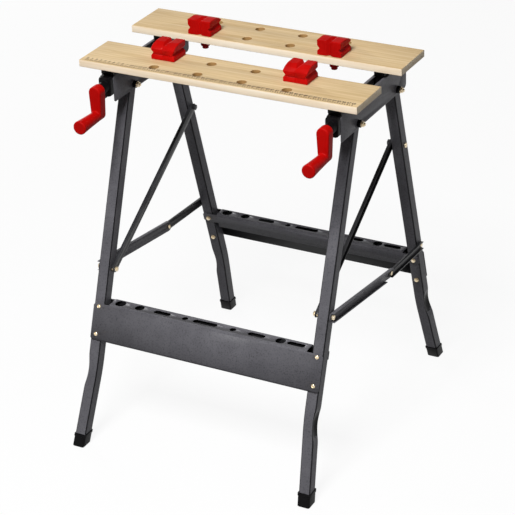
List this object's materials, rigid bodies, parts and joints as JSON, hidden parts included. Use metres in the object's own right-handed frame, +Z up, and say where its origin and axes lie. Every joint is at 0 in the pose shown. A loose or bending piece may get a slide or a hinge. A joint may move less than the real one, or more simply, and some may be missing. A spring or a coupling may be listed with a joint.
{
  "type": "folding workbench",
  "caption": "Folding clamping workbench: wooden jaws with peg holes and red dogs on splayed steel legs, closed by hand cranks, with braces and tool trays.",
  "frame": {"origin": "on the floor under the middle of the four feet", "axes": "+Z up, +X to the right along the jaws, +Y to the back, away from the cranks"},
  "size_m": [0.605, 0.6744, 0.8218],
  "materials": {
    "wood": "plain sanded board",
    "painted_steel": "dark grey powder coat",
    "zinc_steel": "yellow zinc plate",
    "black_plastic": "moulded",
    "red_plastic": "moulded"
  },
  "bodies": {
    "front_frame": {"front_tray": "painted_steel", "leg_front_left": "painted_steel", "foot_front_left": "black_plastic", "strut_pin_left": "zinc_steel", "tray_bolt_front_left_upper": "zinc_steel", "tray_bolt_front_left_lower": "zinc_steel", "leg_front_right": "painted_steel", "foot_front_right": "black_plastic", "strut_pin_right": "zinc_steel", "tray_bolt_front_right_upper": "zinc_steel", "tray_bolt_front_right_lower": "zinc_steel"},
    "top_frame": {"front_jaw": "wood", "rail_left": "painted_steel", "spindle_bush_left": "black_plastic", "jaw_spacer_left": "black_plastic", "jaw_screw_front_left": "zinc_steel", "pivot_bolt_front_left": "zinc_steel", "pivot_bush_front_left": "black_plastic", "pivot_bolt_rear_left": "zinc_steel", "pivot_bush_rear_left": "black_plastic", "rail_right": "painted_steel", "spindle_bush_right": "black_plastic", "jaw_spacer_right": "black_plastic", "jaw_screw_front_right": "zinc_steel", "pivot_bolt_front_right": "zinc_steel", "pivot_bush_front_right": "black_plastic", "pivot_bolt_rear_right": "zinc_steel", "pivot_bush_rear_right": "black_plastic"},
    "rear_frame": {"rear_tray": "painted_steel", "leg_rear_left": "painted_steel", "foot_rear_left": "black_plastic", "stay_pin_left": "zinc_steel", "tray_bolt_rear_left_upper": "zinc_steel", "tray_bolt_rear_left_lower": "zinc_steel", "leg_rear_right": "painted_steel", "foot_rear_right": "black_plastic", "stay_pin_right": "zinc_steel", "tray_bolt_rear_right_upper": "zinc_steel", "tray_bolt_rear_right_lower": "zinc_steel"},
    "moving_jaw": {"rear_jaw": "wood", "nut_block_left": "black_plastic", "jaw_screw_rear_left": "zinc_steel", "nut_block_right": "black_plastic", "jaw_screw_rear_right": "zinc_steel"},
    "left_stay": {"stay_left": "painted_steel"},
    "left_strut_front": {"strut_front_left": "painted_steel", "strut_rivet_left": "zinc_steel"},
    "left_strut_rear": {"strut_rear_left": "painted_steel"},
    "left_crank": {"crank_left": "red_plastic", "spindle_left": "zinc_steel"},
    "right_stay": {"stay_right": "painted_steel"},
    "right_strut_front": {"strut_front_right": "painted_steel", "strut_rivet_right": "zinc_steel"},
    "right_strut_rear": {"strut_rear_right": "painted_steel"},
    "right_crank": {"crank_right": "red_plastic", "spindle_right": "zinc_steel"},
    "front_left_dog": {"dog_front_left": "red_plastic"},
    "front_right_dog": {"dog_front_right": "red_plastic"},
    "rear_left_dog": {"dog_rear_left": "red_plastic"},
    "rear_right_dog": {"dog_rear_right": "red_plastic"}
  },
  "joints": [
    {"name": "fold", "type": "hinge", "parent": "front_frame", "child": "top_frame", "pos_m": [0, -0.066, 0.715], "axis": [1, 0, 0], "range_deg": [0, 43]},
    {"name": "rear_fold", "type": "hinge", "parent": "top_frame", "child": "rear_frame", "pos_m": [0, 0.115, 0.715], "axis": [1, 0, 0], "range_deg": [-70.5, 0]},
    {"name": "left_stay_swing", "type": "hinge", "parent": "front_frame", "child": "left_stay", "pos_m": [-0.232, -0.19409, 0.35726], "axis": [1, 0, 0], "range_deg": [0, 23.5]},
    {"name": "left_strut_front_swing", "type": "hinge", "parent": "front_frame", "child": "left_strut_front", "pos_m": [-0.264, -0.19409, 0.35726], "axis": [1, 0, 0], "range_deg": [0, 62.3]},
    {"name": "left_strut_rear_swing", "type": "hinge", "parent": "left_strut_front", "child": "left_strut_rear", "pos_m": [-0.264, 0.07791, 0.32197], "axis": [1, 0, 0], "range_deg": [-141.8, 0]},
    {"name": "right_stay_swing", "type": "hinge", "parent": "front_frame", "child": "right_stay", "pos_m": [0.232, -0.19409, 0.35726], "axis": [1, 0, 0], "range_deg": [0, 23.5]},
    {"name": "right_strut_front_swing", "type": "hinge", "parent": "front_frame", "child": "right_strut_front", "pos_m": [0.264, -0.19409, 0.35726], "axis": [1, 0, 0], "range_deg": [0, 62.3]},
    {"name": "right_strut_rear_swing", "type": "hinge", "parent": "right_strut_front", "child": "right_strut_rear", "pos_m": [0.264, 0.07791, 0.32197], "axis": [1, 0, 0], "range_deg": [-141.8, 0]},
    {"name": "left_crank_turn", "type": "hinge", "parent": "top_frame", "child": "left_crank", "pos_m": [-0.2487, -0.15, 0.74], "axis": [0, 1, 0], "range_deg": [0, 5490]},
    {"name": "right_crank_turn", "type": "hinge", "parent": "top_frame", "child": "right_crank", "pos_m": [0.2487, -0.15, 0.74], "axis": [0, 1, 0], "range_deg": [0, 5490]},
    {"name": "jaw_slide", "type": "slide", "parent": "top_frame", "child": "moving_jaw", "axis": [0, -1, 0], "range_m": [0, 0.0916]},
    {"name": "front_left_dog_lift", "type": "slide", "parent": "top_frame", "child": "front_left_dog", "axis": [0, 0, 1], "range_m": [0, 0.035]},
    {"name": "front_right_dog_lift", "type": "slide", "parent": "top_frame", "child": "front_right_dog", "axis": [0, 0, 1], "range_m": [0, 0.035]},
    {"name": "rear_left_dog_lift", "type": "slide", "parent": "moving_jaw", "child": "rear_left_dog", "axis": [0, 0, 1], "range_m": [0, 0.035]},
    {"name": "rear_right_dog_lift", "type": "slide", "parent": "moving_jaw", "child": "rear_right_dog", "axis": [0, 0, 1], "range_m": [0, 0.035]}
  ],
  "couplings": [
    {"joint": "rear_fold", "follows": "fold", "ratio": -1.6386},
    {"joint": "left_stay_swing", "follows": "fold", "ratio": 0.5451},
    {"joint": "left_strut_front_swing", "follows": "fold", "ratio": 1.4472},
    {"joint": "left_strut_rear_swing", "follows": "fold", "ratio": -3.2955},
    {"joint": "right_stay_swing", "follows": "fold", "ratio": 0.5451},
    {"joint": "right_strut_front_swing", "follows": "fold", "ratio": 1.4472},
    {"joint": "right_strut_rear_swing", "follows": "fold", "ratio": -3.2955},
    {"joint": "right_crank_turn", "follows": "left_crank_turn", "ratio": 1},
    {"joint": "jaw_slide", "follows": "left_crank_turn", "m_per_rad": 0.00095493}
  ]
}
